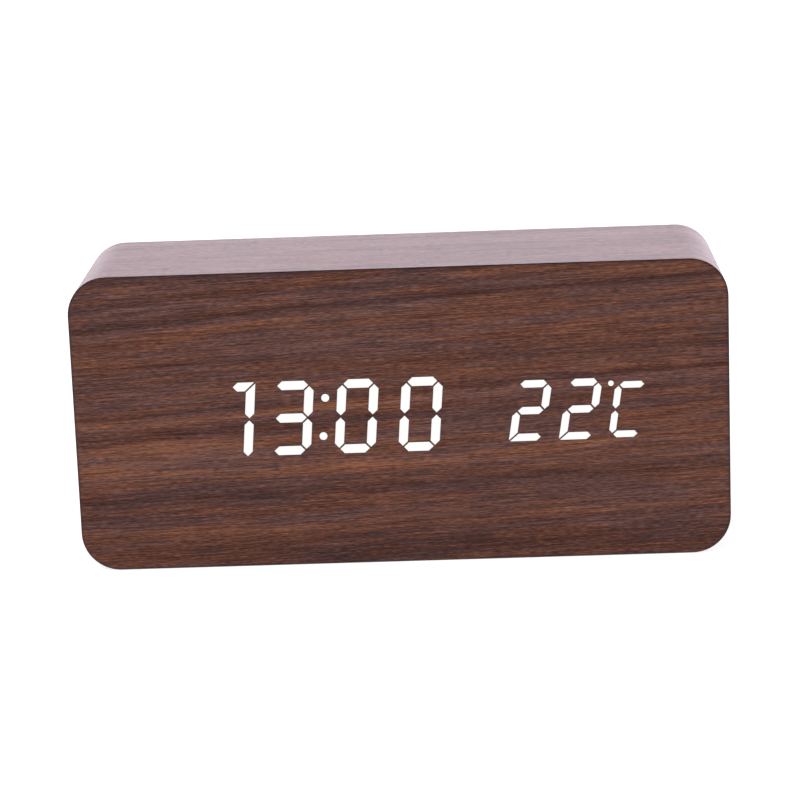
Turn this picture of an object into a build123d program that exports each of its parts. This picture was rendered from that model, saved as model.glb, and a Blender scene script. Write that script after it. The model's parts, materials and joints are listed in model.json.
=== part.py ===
from build123d import *
import os
from collections import namedtuple
from math import radians, sqrt, tan

# Desk clock: a wood block wrapped in wood-grain film, with a seven-segment display that shines through its
# face and a plastic rear cover with a battery bay, three buttons and a power inlet.
# X runs to the viewer's right, Y from the face to the back and Z up. The origin is under the middle of the
# base. Lengths are millimetres and angles are degrees.

# Case block and the film round it
case_width = 152.0
case_height = 70.0
case_depth = 45.0
corner_radius = 9.0
film_thickness = 0.4
film_edge_bevel = 0.25
film_seam = 0.2
front_wall = 3.0
end_wall = 7.0
top_wall = 9.0
cavity_corner = 8.0
rim_wall = 3.5
rear_recess = 1.6

# Display digits: widths and heights run between the middles of the strokes, and a share is of the case width
time_digit_width_share = 0.0488
time_digit_height = 15.5
time_stroke = 2.08
time_slant = 4.9
temp_digit_width_share = 0.0421
temp_digit_height = 12.67
temp_stroke = 1.74
temp_slant = 9.3
unit_width_share = 0.0385
unit_height = 11.7
unit_stroke = 1.55
unit_slant = 8.6
unit_rise = 0.2
segment_gap = 0.42
stroke_clearance = 0.09
serif_share = 0.7
display_rise = 0.45
hour_tens_share = -0.2564
hour_units_share = -0.167
colon_share = -0.1174
minute_tens_share = -0.068
minute_units_share = 0.0296
temp_tens_share = 0.1972
temp_units_share = 0.2735
degree_share = 0.3201
unit_share = 0.3454
colon_dot = 1.85
colon_spread = 4.55
degree_dot = 1.3
degree_rise = 5.88

# Reflector behind the face, its lamps and their board
reflector_depth = 10.0
reflector_draft = 2.0
reflector_gap = 0.2
window_margin = 2.6
window_corner = 3.0
flange_thickness = 2.0
flange_lip = 4.6
peg_diameter = 2.0
peg_inset = 2.2
peg_length = 2.4
peg_gap = 0.1
lamp_board_thickness = 1.6
lamp_length = 1.4
lamp_width = 0.6
lamp_height = 0.6

# Screws: cover screws in the wood, display screws in the front wall, board screws in the bosses
Screw = namedtuple("Screw", "shank length head head_height")
cover_screw = Screw(shank=2.2, length=8.0, head=4.4, head_height=1.3)
display_screw = Screw(shank=1.8, length=4.4, head=3.8, head_height=1.2)
board_screw = Screw(shank=1.8, length=7.0, head=3.6, head_height=1.2)
screw_clearance = 0.05
screw_cross = 0.6
screw_cross_length_share = 0.62
screw_cross_depth_share = 0.6

# Rear cover
cover_thickness = 2.0
cover_gap = 0.2
cover_screw_inset = 4.3
cover_hole_gap = 0.1

# Battery bay: the cells lie along X, one above the other
cell_diameter = 10.5
cell_length = 44.5
cell_nub_diameter = 3.8
cell_nub_height = 0.8
cell_pitch = 10.9
cell_count = 4
cell_floor_gap = 0.2
cell_door_gap = 0.6
bay_wall = 1.5
bay_side_gap = 0.5
bay_inset = 4.5
bay_pocket_gap = 1.8

# Battery contacts
contact_thickness = 0.4
contact_width = 8.6
contact_dimple = 3.0
contact_dimple_height = 0.6
contact_tail_width = 2.4
contact_tail_length = 3.0
contact_slot_gap = 0.15
spring_length = 4.5
spring_span = 7.6
spring_crown = 2.4
spring_width = 3.0
spring_thickness = 0.4

# Battery door
door_thickness = 1.6
door_gap = 0.25
door_ledge = 0.9
door_seat_gap = 0.1
door_corner = 2.0
door_edge_bevel = 0.4
tab_width = 7.0
tab_thickness = 1.0
tab_reach = 1.8
tab_root = 2.15
tab_rim_gap = 0.2
tab_side_gap = 0.3
tab_swing_gap = 0.35
tab_place_share = 0.3
tongue_width = 12.0
tongue_length = 9.0
tongue_slot = 0.8
ridge_width = 0.8
ridge_height = 0.5
ridge_pitch = 1.8
ridge_count = 3
finger_notch_width = 14.0
finger_notch_reach = 4.0
finger_notch_depth = 1.1

# Control board and the bosses that carry it
board_thickness = 1.6
board_standoff = 9.0
board_edge_gap = 4.6
board_bay_gap = 6.0
board_corner = 1.5
boss_diameter = 5.5
boss_inset = 4.0

# Buttons and their switches
button_length = 10.0
button_width = 5.0
button_gap = 0.25
button_proud = 1.0
button_bevel = 0.6
button_lip = 1.2
button_lip_thickness = 1.0
button_float = 0.1
button_travel = 0.5
button_pitch = 16.0
button_rise_share = 0.2
button_stem = 3.0
switch_size = 6.0
switch_height = 3.5
plunger_diameter = 3.4
plunger_proud = 0.8
plunger_depth = 1.0
plunger_gap = 0.15
plunger_foot_gap = 0.3

# Power inlet
jack_body = 9.0
jack_barrel = 6.6
jack_bore = 3.5
jack_bore_depth = 9.0
jack_pin = 1.3
jack_pin_length = 8.2
jack_pin_bevel = 0.3
jack_hole_gap = 0.2
jack_step = 0.4
jack_place_shares = (0.32, -0.2)

# Buzzer, microphone and temperature sensor
buzzer_diameter = 12.0
buzzer_cover_gap = 0.5
buzzer_mouth = 2.4
buzzer_mouth_depth = 1.0
buzzer_place_shares = (0.04, -0.2)
sound_hole = 1.6
sound_circle = 7.2
sound_hole_count = 6
mic_diameter = 6.0
mic_height = 5.0
mic_hole = 1.6
mic_place_shares = (-0.33, -0.12)
sensor_bead = 2.4
sensor_bead_length = 3.0
sensor_lead = 0.5
sensor_lead_length = 4.5
sensor_lead_spread = 1.3
sensor_place_shares = (-0.2, -0.33)
vent_length = 10.0
vent_width = 1.2
vent_pitch = 2.8
vent_count = 3

# Parts on the inner side of the control board
controller_size = 10.0
controller_height = 1.6
controller_place_shares = (-0.14, 0.28)
crystal_diameter = 3.0
crystal_length = 8.0
crystal_place_shares = (-0.32, 0.22)
coin_diameter = 20.0
coin_height = 3.2
coin_gap = 0.15
holder_wall = 1.4
holder_floor = 1.0
holder_place_shares = (0.25, 0.1)
connector_length = 15.0
connector_width = 5.0
connector_height = 3.5
connector_place_shares = (-0.1, -0.24)
cable_width = 12.0
cable_thickness = 0.8
cable_bend_share = 0.4
cable_drop_share = 0.2
lead_diameter = 1.2
lead_sides = 6
lead_dip = 3.6
lead_bend = 2.7
lead_pad_inset = 9.0

# Flat sides of small rounds, such as pegs, shanks and their holes, and of larger ones, such as dots, screw
# heads, button ends and the round parts on the control board, and of the dry cells
small_round_sides = 12
round_sides = 20
cell_sides = 32

# Overrun of every cut past the face that it opens
overrun = 1.0

# Depths and middles that several pieces share
face_y = -case_depth / 2
back_y = case_depth / 2
wood_face_y = face_y + film_thickness
wood_back_y = back_y - film_thickness
cavity_face_y = wood_face_y + front_wall
cover_face_y = back_y - rear_recess
cover_inner_y = cover_face_y - cover_thickness
middle_z = case_height / 2
reflector_back_y = wood_face_y + reflector_depth
lamp_board_back_y = reflector_back_y + lamp_board_thickness
display_z = middle_z + display_rise
cavity_half_width = case_width / 2 - film_thickness - end_wall
cavity_half_height = case_height / 2 - film_thickness - top_wall

# Battery bay, from the cells outwards
bay_length = cell_length + spring_length + contact_dimple_height + 2 * contact_thickness
bay_height = (cell_count - 1) * cell_pitch + cell_diameter + 2 * bay_side_gap
bay_left_x = -cavity_half_width + bay_inset + bay_wall
bay_right_x = bay_left_x + bay_length
bay_x = (bay_left_x + bay_right_x) / 2
door_inner_y = cover_face_y - door_thickness
ledge_y = door_inner_y - door_seat_gap
cell_y = door_inner_y - cell_door_gap - cell_diameter / 2
bay_floor_y = cell_y - cell_diameter / 2 - cell_floor_gap
bay_front_y = bay_floor_y - bay_wall
opening_length = bay_length + 2 * door_ledge
opening_height = bay_height + 2 * door_ledge
door_length = opening_length - 2 * door_gap
door_height = opening_height - 2 * door_gap
door_bottom_z = middle_z - door_height / 2
cell_zs = [middle_z + (i - (cell_count - 1) / 2) * cell_pitch for i in range(cell_count)]

# Control board, between the bay and the far wall
board_left_x = bay_right_x + bay_wall + board_bay_gap
board_right_x = cavity_half_width - board_edge_gap
board_width = board_right_x - board_left_x
board_height = 2 * (cavity_half_height - board_edge_gap)
board_x = (board_left_x + board_right_x) / 2
board_back_y = cover_inner_y - board_standoff
board_face_y = board_back_y - board_thickness
button_names = ("set", "up", "down")
button_xs = [board_x + (1 - i) * button_pitch for i in range(len(button_names))]
button_z = middle_z + button_rise_share * board_height
switch_top_y = board_back_y + switch_height


# Drawing helpers

def prism(profile, front_y, rear_y):
    """Solid of an X-Z profile between two depths."""
    return extrude(Plane.XZ.offset(-front_y) * profile, amount=rear_y - front_y, dir=(0, 1, 0))


def rod(x, z, diameter, front_y, rear_y):
    """Round bar along Y."""
    return prism(Pos(x, z) * Circle(diameter / 2), front_y, rear_y)


def faceted_round(diameter, sides=small_round_sides):
    """Outline of a round with flat sides, its corners on the circle."""
    return RegularPolygon(diameter / 2, sides)


def faceted_rod(x, z, diameter, front_y, rear_y, sides=small_round_sides):
    """Bar along Y with such an outline."""
    return prism(Pos(x, z) * faceted_round(diameter, sides), front_y, rear_y)


def oblong(length, width):
    """Outline with straight sides and round ends."""
    ends = GridLocations(length - width, 0, 2, 1)
    return Rectangle(length - width, width) + [end * faceted_round(width, round_sides) for end in ends]


def block_outline(inset):
    """Outline of the case, drawn in all round by an inset."""
    radius = corner_radius - inset
    return Pos(0, middle_z) * RectangleRounded(case_width - 2 * inset, case_height - 2 * inset, radius)


def on_board(shares):
    """Place on the control board, from shares of its width and height off its middle."""
    return board_x + shares[0] * board_width, middle_z + shares[1] * board_height


def screw_solid(screw):
    """Cross-head screw along Z, its head standing on the plane z = 0."""
    head = extrude(faceted_round(screw.head, round_sides), screw.head_height)
    slot_depth = screw.head_height * screw_cross_depth_share
    slot = Box(screw.head * screw_cross_length_share, screw_cross, 2 * slot_depth)
    slot = Pos(0, 0, screw.head_height) * slot
    shank = extrude(faceted_round(screw.shank), -screw.length)
    return head + shank - slot - Rot(0, 0, 90) * slot


def screws_facing_back(screw, places, head_y):
    """Copies of a screw driven from behind, heads standing on the depth head_y."""
    return [Pos(x, head_y, z) * Rot(-90, 0, 0) * screw_solid(screw) for x, z in places]


def screws_facing_front(screw, places, head_y):
    """Copies of a screw driven from the front."""
    return [Pos(x, head_y, z) * Rot(90, 0, 0) * screw_solid(screw) for x, z in places]


# Seven-segment figures

Digit = namedtuple("Digit", "x z width height stroke slant")
Stroke = namedtuple("Stroke", "start end start_style end_style", defaults=("point", "point"))

time_digit_width = time_digit_width_share * case_width
temp_digit_width = temp_digit_width_share * case_width
unit_width = unit_width_share * case_width
temp_base_z = display_z - (temp_digit_height + temp_stroke) / 2
unit_z = temp_base_z + unit_rise + (unit_height + unit_stroke) / 2
time_sizes = (display_z, time_digit_width, time_digit_height, time_stroke, time_slant)
temp_sizes = (display_z, temp_digit_width, temp_digit_height, temp_stroke, temp_slant)
hour_tens = Digit(hour_tens_share * case_width, *time_sizes)
hour_units = Digit(hour_units_share * case_width, *time_sizes)
minute_tens = Digit(minute_tens_share * case_width, *time_sizes)
minute_units = Digit(minute_units_share * case_width, *time_sizes)
temp_tens = Digit(temp_tens_share * case_width, *temp_sizes)
temp_units = Digit(temp_units_share * case_width, *temp_sizes)
unit_letter = Digit(unit_share * case_width, unit_z, unit_width, unit_height, unit_stroke, unit_slant)

# Stroke ends, as shares of half the figure's width and height
top_left_share = (-1, 1)
top_right_share = (1, 1)
middle_left_share = (-1, 0)
middle_right_share = (1, 0)
bottom_left_share = (-1, -1)
bottom_right_share = (1, -1)
serif_start_share = 1 + time_stroke / time_digit_width - 2 * serif_share

top = Stroke(top_left_share, top_right_share)
upper_right = Stroke(top_right_share, middle_right_share)
lower_right = Stroke(middle_right_share, bottom_right_share)
bottom = Stroke(bottom_left_share, bottom_right_share)
lower_left = Stroke(bottom_left_share, middle_left_share)
upper_left = Stroke(middle_left_share, top_left_share)
middle = Stroke(middle_left_share, middle_right_share)
full_figure = (top, upper_right, lower_right, bottom, lower_left, upper_left, middle)

figure_one = (
    Stroke((serif_start_share, 1), top_right_share, "free", "mitre"),
    Stroke(top_right_share, middle_right_share, "mitre", "point"),
    Stroke(middle_right_share, bottom_right_share, "point", "tip"),
)
figure_two = (
    Stroke(top_left_share, top_right_share, "free", "point"),
    upper_right,
    middle,
    Stroke(bottom_left_share, middle_left_share, "mitre", "point"),
    Stroke(bottom_left_share, bottom_right_share, "mitre", "free"),
)
figure_three = (
    Stroke(top_left_share, top_right_share, "free", "point"),
    upper_right,
    Stroke(middle_left_share, middle_right_share, "free", "point"),
    lower_right,
    Stroke(bottom_left_share, bottom_right_share, "free", "point"),
)
figure_zero = (top, upper_right, lower_right, bottom, lower_left, upper_left)
letter_c = (
    Stroke(top_left_share, top_right_share, "point", "free"),
    upper_left,
    lower_left,
    Stroke(bottom_left_share, bottom_right_share, "point", "free"),
)


def stroke_end(node, outward, side, stroke, style):
    """Corner points of one stroke end, from the side that the vector side points to, to the other."""
    half = stroke / 2
    inset = 0 if style == "free" else segment_gap / sqrt(2)
    if style == "tip":
        return [node + side * half, node + outward * half, node - side * half]
    if style == "mitre":
        outer = node + outward * (half - inset) + side * half
        inner = node - outward * (half + inset) - side * half
        return [outer, inner]
    shoulder = node - outward * (half + inset)
    return [shoulder + side * half, node - outward * inset, shoulder - side * half]


def stroke_face(digit, stroke):
    """One slanted stroke of a figure, in the X-Z plane, drawn with its outer side on its left."""
    half_width = digit.width / 2
    half_height = digit.height / 2
    start = Vector(stroke.start[0] * half_width, stroke.start[1] * half_height)
    end = Vector(stroke.end[0] * half_width, stroke.end[1] * half_height)
    way = (end - start).normalized()
    side = Vector(-way.Y, way.X)
    if side.dot(start + end) < 0:
        return stroke_face(digit, Stroke(stroke.end, stroke.start, stroke.end_style, stroke.start_style))
    first = stroke_end(start, -way, side, digit.stroke, stroke.start_style)
    last = stroke_end(end, way, side, digit.stroke, stroke.end_style)
    lean = tan(radians(digit.slant))
    outline = [(digit.x + p.X + p.Y * lean, digit.z + p.Y) for p in first + last[::-1]]
    return Polygon(*outline, align=None)


def stroke_middle(digit, stroke):
    """Middle of a stroke, and whether it stands upright."""
    across = (stroke.start[0] + stroke.end[0]) / 2 * digit.width / 2
    rise = (stroke.start[1] + stroke.end[1]) / 2 * digit.height / 2
    lean = tan(radians(digit.slant))
    return digit.x + across + rise * lean, digit.z + rise, stroke.start[0] == stroke.end[0]


def dot_face(x, z, diameter):
    """Round lamp mark."""
    return Pos(x, z) * faceted_round(diameter, round_sides)


colon_lean = colon_spread * tan(radians(time_slant))
colon_x = colon_share * case_width
colon_places = [(colon_x + s * colon_lean, display_z + s * colon_spread) for s in (1, -1)]
degree_place = (degree_share * case_width, display_z + degree_rise)
colon_faces = [dot_face(x, z, colon_dot) for x, z in colon_places]
degree_face = dot_face(*degree_place, degree_dot)
time_digits = (hour_tens, hour_units, minute_tens, minute_units)
temp_digits = (temp_tens, temp_units)

lit_faces = {
    "lit_hour_tens": [stroke_face(hour_tens, s) for s in figure_one],
    "lit_hour_units": [stroke_face(hour_units, s) for s in figure_three],
    "lit_colon": colon_faces,
    "lit_minute_tens": [stroke_face(minute_tens, s) for s in figure_zero],
    "lit_minute_units": [stroke_face(minute_units, s) for s in figure_zero],
    "lit_temp_tens": [stroke_face(temp_tens, s) for s in figure_two],
    "lit_temp_units": [stroke_face(temp_units, s) for s in figure_two],
    "lit_celsius": [stroke_face(unit_letter, s) for s in letter_c] + [degree_face],
}
time_wells = [stroke_face(d, s) for d in time_digits for s in full_figure]
temp_wells = [stroke_face(d, s) for d in temp_digits for s in full_figure]
temp_wells += [stroke_face(unit_letter, s) for s in letter_c]

# The display window, from the ends of the figures
digit_reach = (time_digit_height * tan(radians(time_slant)) + time_digit_width + time_stroke) / 2
unit_reach = (unit_height * tan(radians(unit_slant)) + unit_width + unit_stroke) / 2
window_left_x = hour_tens.x - digit_reach - window_margin
window_right_x = unit_letter.x + unit_reach + window_margin
window_width = window_right_x - window_left_x
window_height = time_digit_height + time_stroke + 2 * window_margin
window_place = Pos((window_left_x + window_right_x) / 2, display_z)


def window_outline(grown):
    """Outline of the display window, grown or drawn in all round."""
    width = window_width + 2 * grown
    height = window_height + 2 * grown
    return window_place * RectangleRounded(width, height, window_corner + grown)


def window_corners(inset):
    """Four places inside the corners of the window's outline."""
    corners = GridLocations(window_width - 2 * inset, window_height - 2 * inset, 2, 2)
    return [((window_place * c).position.X, (window_place * c).position.Y) for c in corners]


peg_places = window_corners(peg_inset)
display_screw_places = window_corners(-flange_lip / 2)
flange_back_y = cavity_face_y + flange_thickness

# Places of the other screws
cover_inset = film_thickness + rim_wall + cover_gap
screw_across = case_width / 2 - cover_inset - cover_screw_inset
screw_up = case_height / 2 - cover_inset - cover_screw_inset
cover_screw_places = [(sx * screw_across, middle_z + sz * screw_up) for sx in (-1, 1) for sz in (-1, 1)]
boss_up = board_height / 2 - boss_inset
boss_xs = (board_left_x + boss_inset, board_right_x - boss_inset)
boss_places = [(x, middle_z + sz * boss_up) for x in boss_xs for sz in (-1, 1)]


# Case and film

def case_shell():
    """Wood block, hollowed from behind, with room for the bay, a seat for the cover and a display window."""
    cavity = RectangleRounded(2 * cavity_half_width, 2 * cavity_half_height, cavity_corner)
    shell = prism(block_outline(film_thickness), wood_face_y, wood_back_y)
    shell -= prism(Pos(0, middle_z) * cavity, cavity_face_y, wood_back_y + overrun)
    bay_room = 2 * (bay_wall + bay_pocket_gap)
    pocket = Pos(bay_x, middle_z) * Rectangle(bay_length + bay_room, bay_height + bay_room)
    shell -= prism(pocket, bay_front_y - bay_pocket_gap, wood_back_y + overrun)
    shell -= prism(block_outline(film_thickness + rim_wall), cover_inner_y, wood_back_y + overrun)
    shell -= prism(window_outline(0), wood_face_y - overrun, cavity_face_y + overrun)
    pilot = cover_screw.shank + 2 * screw_clearance
    pilot_end_y = cover_face_y - cover_screw.length - screw_clearance
    for x, z in cover_screw_places:
        shell -= faceted_rod(x, z, pilot, pilot_end_y, cover_inner_y + overrun)
    pilot = display_screw.shank + 2 * screw_clearance
    pilot_end_y = flange_back_y - display_screw.length - screw_clearance
    for x, z in display_screw_places:
        shell -= faceted_rod(x, z, pilot, pilot_end_y, cavity_face_y + overrun)
    return shell


def front_veneer():
    """Film on the face, with its outer edge bevelled and the lit strokes cut through."""
    film = prism(block_outline(0), face_y, wood_face_y)
    film = chamfer(film.faces().sort_by(Axis.Y)[0].outer_wire().edges(), film_edge_bevel)
    for faces in lit_faces.values():
        for face in faces:
            opening = offset(face, amount=stroke_clearance, kind=Kind.INTERSECTION)
            film -= prism(opening, face_y - overrun, wood_face_y + overrun)
    return film


def base_outline(seam):
    """Outline of the flat film under the base, between the lower corners, with a seam at each end."""
    length = case_width - 2 * corner_radius + 2 * seam
    return Rectangle(length, film_thickness, align=(Align.CENTER, Align.MIN))


def base_veneer():
    """Flat strip of film that the clock stands on."""
    return prism(base_outline(0), wood_face_y, wood_back_y)


def side_veneer():
    """Film wrapped over the sides and the top, its ends meeting the base film in two butt seams."""
    film = prism(block_outline(0) - block_outline(film_thickness), wood_face_y, wood_back_y)
    return film - prism(base_outline(film_seam), wood_face_y - overrun, wood_back_y + overrun)


def rear_veneer():
    """Film on the rim round the rear cover."""
    return prism(block_outline(0) - block_outline(film_thickness + rim_wall), wood_back_y, back_y)


# Display

def light_well(face, rear_y):
    """Room or filling of a stroke's light well, narrowing from the face to a depth."""
    front = Plane(origin=(0, wood_face_y, 0), x_dir=(1, 0, 0), z_dir=(0, 1, 0))
    return front * extrude(mirror(face, about=Plane.XZ), amount=rear_y - wood_face_y, taper=reflector_draft)


def reflector_block():
    """White block with a light well for every stroke and dot, a seating flange and locating pegs."""
    block = prism(window_outline(-reflector_gap), wood_face_y, reflector_back_y)
    block += prism(window_outline(flange_lip), cavity_face_y, flange_back_y)
    for x, z in peg_places:
        block += faceted_rod(x, z, peg_diameter, reflector_back_y, reflector_back_y + peg_length)
    block = block - [light_well(face, reflector_back_y) for face in time_wells + temp_wells]
    block = block - [prism(dot, wood_face_y, reflector_back_y) for dot in colon_faces + [degree_face]]
    hole = display_screw.shank + 2 * screw_clearance
    for x, z in display_screw_places:
        block -= faceted_rod(x, z, hole, cavity_face_y - overrun, flange_back_y + overrun)
    return block


def segment_lenses(wells, dots):
    """Clear fillings of the light wells, each from the face to just short of its lamp."""
    lamp_face_y = reflector_back_y - lamp_height
    strokes = [light_well(face, lamp_face_y) for face in wells]
    return strokes + [prism(dot, wood_face_y, lamp_face_y) for dot in dots]


def lamp_board():
    """Circuit board behind the reflector, located on its pegs."""
    board = prism(window_outline(0), reflector_back_y, lamp_board_back_y)
    for x, z in peg_places:
        hole = peg_diameter + 2 * peg_gap
        board -= faceted_rod(x, z, hole, reflector_back_y - overrun, lamp_board_back_y + overrun)
    return board


def lamps():
    """One small lamp behind each stroke and dot."""
    figures = [(d, full_figure) for d in time_digits + temp_digits] + [(unit_letter, letter_c)]
    chips = []
    for digit, strokes in figures:
        for x, z, upright in [stroke_middle(digit, s) for s in strokes]:
            lie = Rot(0, 0, 90 - digit.slant) if upright else Rot()
            chips.append(Pos(x, z) * lie * Rectangle(lamp_length, lamp_width))
    chips += [Pos(x, z) * Rectangle(lamp_width, lamp_width) for x, z in colon_places + [degree_place]]
    return [prism(chip, reflector_back_y - lamp_height, reflector_back_y) for chip in chips]


def lit_strokes(faces):
    """The lit strokes of one figure, set in their openings in the front film, against the reflector."""
    return [prism(face, face_y, wood_face_y) for face in faces]


# Rear cover and battery bay

def finger_notch():
    """Scoop in the cover above the door's tongue, deepest beside the door."""
    half = finger_notch_width / 2
    scoop = Ellipse(half, finger_notch_reach)
    top_z = middle_z + opening_height / 2
    return prism(Pos(bay_x, top_z) * scoop, cover_face_y - finger_notch_depth, cover_face_y + overrun)


def tab_xs():
    """Middles of the door's two hook tabs."""
    return [bay_x + s * tab_place_share * door_length for s in (-1, 1)]


def rear_cover():
    """Black cover with the battery bay moulded in, holes for the controls and bosses for the board."""
    middle_place = Pos(bay_x, middle_z)
    bay_outer = middle_place * Rectangle(bay_length + 2 * bay_wall, bay_height + 2 * bay_wall)
    bay_inner = middle_place * Rectangle(bay_length, bay_height)
    opening = middle_place * RectangleRounded(opening_length, opening_height, door_corner + door_gap)
    cover = prism(block_outline(cover_inset), cover_inner_y, cover_face_y)
    cover += prism(bay_outer, bay_front_y, cover_inner_y)
    cover -= prism(bay_inner, bay_floor_y, cover_face_y + overrun)
    cover -= prism(opening, ledge_y, cover_face_y + overrun)
    cover -= finger_notch()
    for x, z in boss_places:
        cover += faceted_rod(x, z, boss_diameter, board_back_y, cover_inner_y)
    pilot = board_screw.shank + 2 * screw_clearance
    pilot_end_y = board_face_y + board_screw.length + screw_clearance
    for x, z in boss_places:
        cover -= faceted_rod(x, z, pilot, board_back_y - overrun, pilot_end_y)
    return cover - tab_notches() - tail_slots() - control_holes()


def tab_notches():
    """Room in the bay's lower wall and ledge for the door's hook tabs to swing."""
    width = tab_width + 2 * tab_side_gap
    inner_z = middle_z - bay_height / 2
    outer_z = inner_z - bay_wall
    opening_z = middle_z - opening_height / 2
    reach = tab_reach + door_gap
    drop = cover_thickness + tab_rim_gap + tab_thickness
    swing_y = cover_face_y - sqrt(reach**2 + drop**2) - tab_swing_gap
    cuts = []
    for x in tab_xs():
        wall = Rectangle(width, inner_z - outer_z + 2 * overrun, align=(Align.CENTER, Align.MIN))
        cuts.append(prism(Pos(x, outer_z - overrun) * wall, swing_y, cover_inner_y))
        ledge = Rectangle(width, inner_z - opening_z + overrun, align=(Align.CENTER, Align.MIN))
        cuts.append(prism(Pos(x, opening_z) * ledge, cover_inner_y - overrun, ledge_y + overrun))
    return cuts


def tail_slots():
    """Slots in the bay's floor for the tails of the two end contacts."""
    width = contact_thickness + 2 * contact_slot_gap
    slot = Rectangle(width, contact_tail_width + 2 * contact_slot_gap)
    x = bay_right_x - contact_thickness / 2
    ends = (cell_zs[0], cell_zs[-1])
    return [prism(Pos(x, z) * slot, bay_front_y - overrun, bay_floor_y + overrun) for z in ends]


def control_holes():
    """Openings in the cover for buttons, inlet, sound, air and screws."""
    screw_hole = faceted_round(cover_screw.shank + 2 * cover_hole_gap)
    holes = [Pos(*place) * screw_hole for place in cover_screw_places]
    button_hole = oblong(button_length + 2 * button_gap, button_width + 2 * button_gap)
    holes += [Pos(x, button_z) * button_hole for x in button_xs]
    holes.append(dot_face(*on_board(jack_place_shares), jack_barrel + 2 * jack_hole_gap))
    buzzer_place = Pos(*on_board(buzzer_place_shares))
    holes.append(buzzer_place * faceted_round(sound_hole))
    ring = PolarLocations(sound_circle / 2, sound_hole_count)
    holes += [buzzer_place * place * faceted_round(sound_hole) for place in ring]
    holes.append(Pos(*on_board(mic_place_shares)) * faceted_round(mic_hole))
    sensor_x, sensor_z = on_board(sensor_place_shares)
    for i in range(vent_count):
        rise = (i - (vent_count - 1) / 2) * vent_pitch
        holes.append(Pos(sensor_x, sensor_z + rise) * Rectangle(vent_length, vent_width))
    return [prism(hole, cover_inner_y - overrun, cover_face_y + overrun) for hole in holes]


def battery_door():
    """Door plate with two hook tabs along its lower edge and a sprung tongue with grip ridges at the top."""
    plate = Pos(bay_x, middle_z) * RectangleRounded(door_length, door_height, door_corner)
    door = prism(plate, door_inner_y, cover_face_y)
    door = chamfer(door.faces().sort_by(Axis.Y)[-1].outer_wire().edges(), door_edge_bevel)
    top_z = door_bottom_z + door_height
    slit = Rectangle(tongue_slot, tongue_length + overrun, align=(Align.CENTER, Align.MIN))
    for side in (-1, 1):
        x = bay_x + side * (tongue_width + tongue_slot) / 2
        door -= prism(Pos(x, top_z - tongue_length) * slit, door_inner_y - overrun, cover_face_y + overrun)
    ridge = Rectangle(tongue_width - 2 * tongue_slot, ridge_width)
    for i in range(ridge_count):
        z = top_z - (i + 1) * ridge_pitch
        door += prism(Pos(bay_x, z) * ridge, cover_face_y, cover_face_y + ridge_height)
    tab_top_y = cover_inner_y - tab_rim_gap
    tab_low_y = tab_top_y - tab_thickness
    root = Rectangle(tab_width, tab_root, align=(Align.CENTER, Align.MIN))
    hook = Rectangle(tab_width, tab_reach + door_gap, align=(Align.CENTER, Align.MAX))
    for x in tab_xs():
        door += prism(Pos(x, door_bottom_z) * root, tab_low_y, door_inner_y)
        door += prism(Pos(x, door_bottom_z) * hook, tab_low_y, tab_top_y)
    return door


def cells():
    """Four dry cells, laid head to tail."""
    body_length = cell_length - cell_nub_height
    body = extrude(faceted_round(cell_diameter, cell_sides), body_length)
    nub = extrude(faceted_round(cell_nub_diameter, round_sides), cell_nub_height)
    cell = body + Pos(0, 0, body_length) * nub
    near = contact_thickness + spring_length
    made = []
    for i, z in enumerate(cell_zs):
        if i % 2:
            made.append(Pos(bay_right_x - near, cell_y, z) * Rot(0, -90, 0) * cell)
        else:
            made.append(Pos(bay_left_x + near, cell_y, z) * Rot(0, 90, 0) * cell)
    return made


def contact_plates():
    """Spring-steel plates at the bay's ends: two pairs on the left, one pair and two ends on the right."""
    left = [(0, 1), (2, 3)]
    right = [(0,), (1, 2), (3,)]
    plates = []
    for wall_x, inward, groups in ((bay_left_x, 1, left), (bay_right_x, -1, right)):
        plate_x = wall_x + inward * contact_thickness / 2
        for group in groups:
            reach = (len(group) - 1) * cell_pitch + contact_width
            z = sum(cell_zs[i] for i in group) / len(group)
            plate = Pos(plate_x, cell_y, z) * Box(contact_thickness, contact_width, reach)
            for i in group:
                if (inward < 0) == (i % 2 == 0):
                    plate += contact_dimple_at(wall_x, inward, cell_zs[i])
            if len(group) == 1:
                plate += contact_tail(plate_x, z)
            plates.append(plate)
    return plates


def contact_dimple_at(wall_x, inward, z):
    """Pressed dimple that meets a cell's nub."""
    dimple = extrude(faceted_round(contact_dimple), contact_dimple_height)
    return Pos(wall_x + inward * contact_thickness, cell_y, z) * Rot(0, inward * 90, 0) * dimple


def contact_tail(plate_x, z):
    """Tail of an end contact, through the bay's floor to its lead."""
    plate_low_y = cell_y - contact_width / 2
    tail_end_y = bay_front_y - contact_tail_length
    tail = Rectangle(contact_thickness, contact_tail_width)
    return prism(Pos(plate_x, z) * tail, tail_end_y, plate_low_y)


def contact_springs():
    """Bent leaf springs on the plates behind the flat ends of the cells."""
    foot = spring_span / 2
    crown = spring_crown / 2
    outer = [(0, -foot), (spring_length, -crown), (spring_length, crown), (0, foot)]
    foot -= spring_thickness
    crown -= spring_thickness
    under = spring_length - spring_thickness
    inner = [(0, foot), (under, crown), (under, -crown), (0, -foot)]
    profile = Polygon(*outer, *inner, align=None)
    spring = extrude(profile, amount=spring_width / 2, both=True)
    made = []
    for i, z in enumerate(cell_zs):
        if i % 2:
            made.append(Pos(bay_right_x - contact_thickness, cell_y, z) * Rot(0, 0, 180) * spring)
        else:
            made.append(Pos(bay_left_x + contact_thickness, cell_y, z) * spring)
    return made


# Controls

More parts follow.
